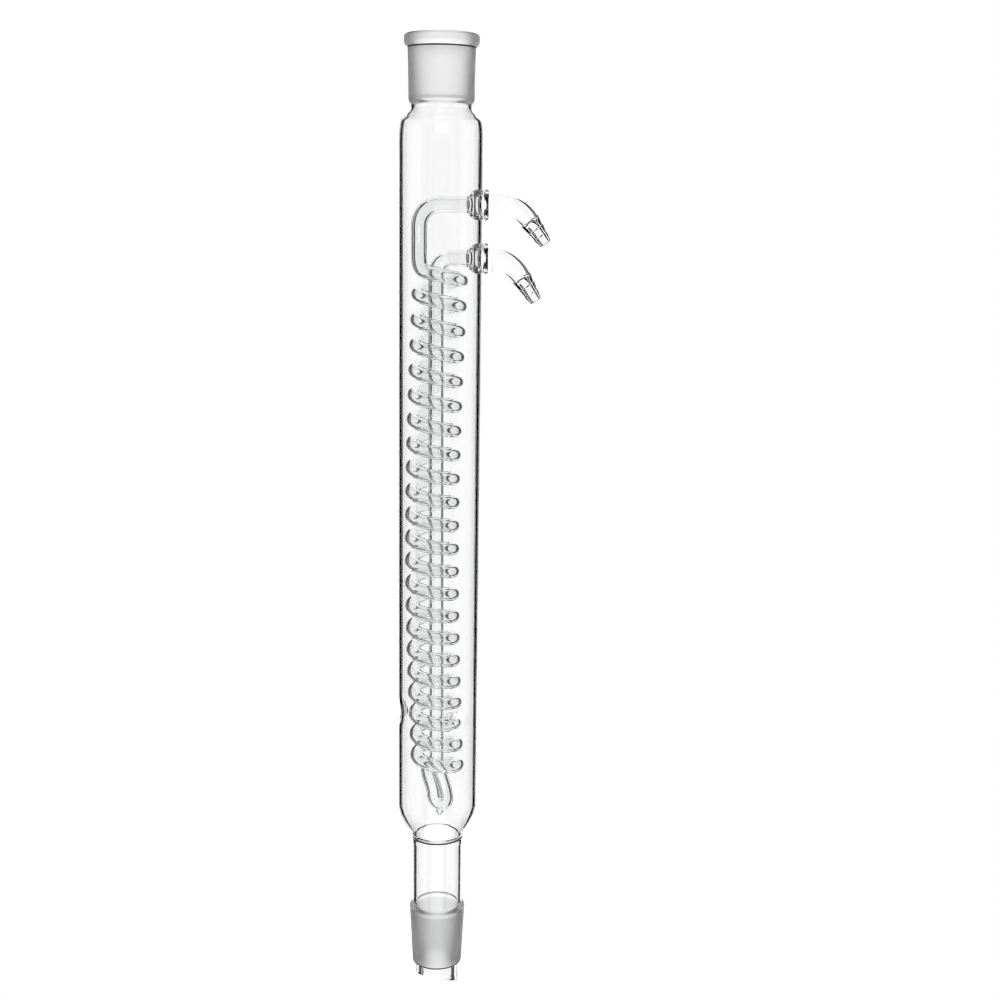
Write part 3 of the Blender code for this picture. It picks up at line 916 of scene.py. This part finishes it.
def make_side_panels(camera):
    """Two soft panels beside the object, whose light shows on ground glass and hardly on clear."""
    for number, x in enumerate((-PANEL_SIDE, PANEL_SIDE)):
        near, far = -SWEEP_DISTANCE + PANEL_HALF_DEPTH, -SWEEP_DISTANCE - PANEL_HALF_DEPTH
        low, high = -PANEL_HALF_HEIGHT, PANEL_HALF_HEIGHT
        mesh = bpy.data.meshes.new("panel")
        corners = [(x, low, near), (x, high, near), (x, high, far), (x, low, far)]
        mesh.from_pydata(corners, [], [(0, 1, 2, 3)])
        mesh.materials.append(emitter("panel_light", PANEL_STRENGTH))
        panel = bpy.data.objects.new("panel_" + str(number), mesh)
        bpy.context.scene.collection.objects.link(panel)
        panel.parent = camera
        panel.visible_camera = False
        panel.visible_shadow = False


FLOOR_HALF_SIDE = 20.0
FLOOR_Z = -0.6


def make_floor():
    """A pale floor that only the camera sees. It lights nothing and shows in no glass."""
    mesh = bpy.data.meshes.new("floor")
    half = FLOOR_HALF_SIDE
    corners = [(-half, -half, 0), (half, -half, 0), (half, half, 0), (-half, half, 0)]
    mesh.from_pydata(corners, [], [(0, 1, 2, 3)])
    mesh.materials.append(emitter("pale_floor", 1.0))
    floor = bpy.data.objects.new("floor", mesh)
    floor.location.z = FLOOR_Z
    bpy.context.scene.collection.objects.link(floor)
    for use in ("diffuse", "glossy", "transmission", "shadow"):
        setattr(floor, "visible_" + use, False)


def make_world():
    """White behind the object where the camera looks, and black for all other light."""
    world = bpy.data.worlds.new("studio")
    bpy.context.scene.world = world
    world.use_nodes = True
    nodes, links = world.node_tree.nodes, world.node_tree.links
    nodes.clear()
    output = nodes.new("ShaderNodeOutputWorld")
    mix = nodes.new("ShaderNodeMixShader")
    path = nodes.new("ShaderNodeLightPath")
    room = nodes.new("ShaderNodeBackground")
    room.inputs["Color"].default_value = (0.0, 0.0, 0.0, 1.0)
    wall = nodes.new("ShaderNodeBackground")
    wall.inputs["Color"].default_value = (1.0, 1.0, 1.0, 1.0)
    links.new(path.outputs["Is Camera Ray"], mix.inputs["Fac"])
    links.new(room.outputs["Background"], mix.inputs[1])
    links.new(wall.outputs["Background"], mix.inputs[2])
    links.new(mix.outputs["Shader"], output.inputs["Surface"])


def set_light_paths():
    """Light crosses up to about thirty glass faces on its way through the condenser."""
    cycles = bpy.context.scene.cycles
    cycles.max_bounces = 48
    cycles.transmission_bounces = 48
    cycles.glossy_bounces = 16
    cycles.diffuse_bounces = 4
    cycles.transparent_max_bounces = 64
    cycles.use_denoising = True
    cycles.filter_width = 1.1
    bpy.context.scene.view_settings.view_transform = "Standard"


camera = make_camera()
make_upper_socket()
make_jacket()
make_lower_stem()
make_lower_cone()
make_coil()
make_riser()
make_return_tube()
make_bottom_bend()
make_drip_point()
for side, height, *bow in ARMS:
    make_ring_seal(side, height)
    place, heading = make_side_arm(side, height, *bow)
    make_hose_barb(side, place, heading)
make_sweep(camera)
make_side_panels(camera)
make_floor()
make_world()
set_light_paths()
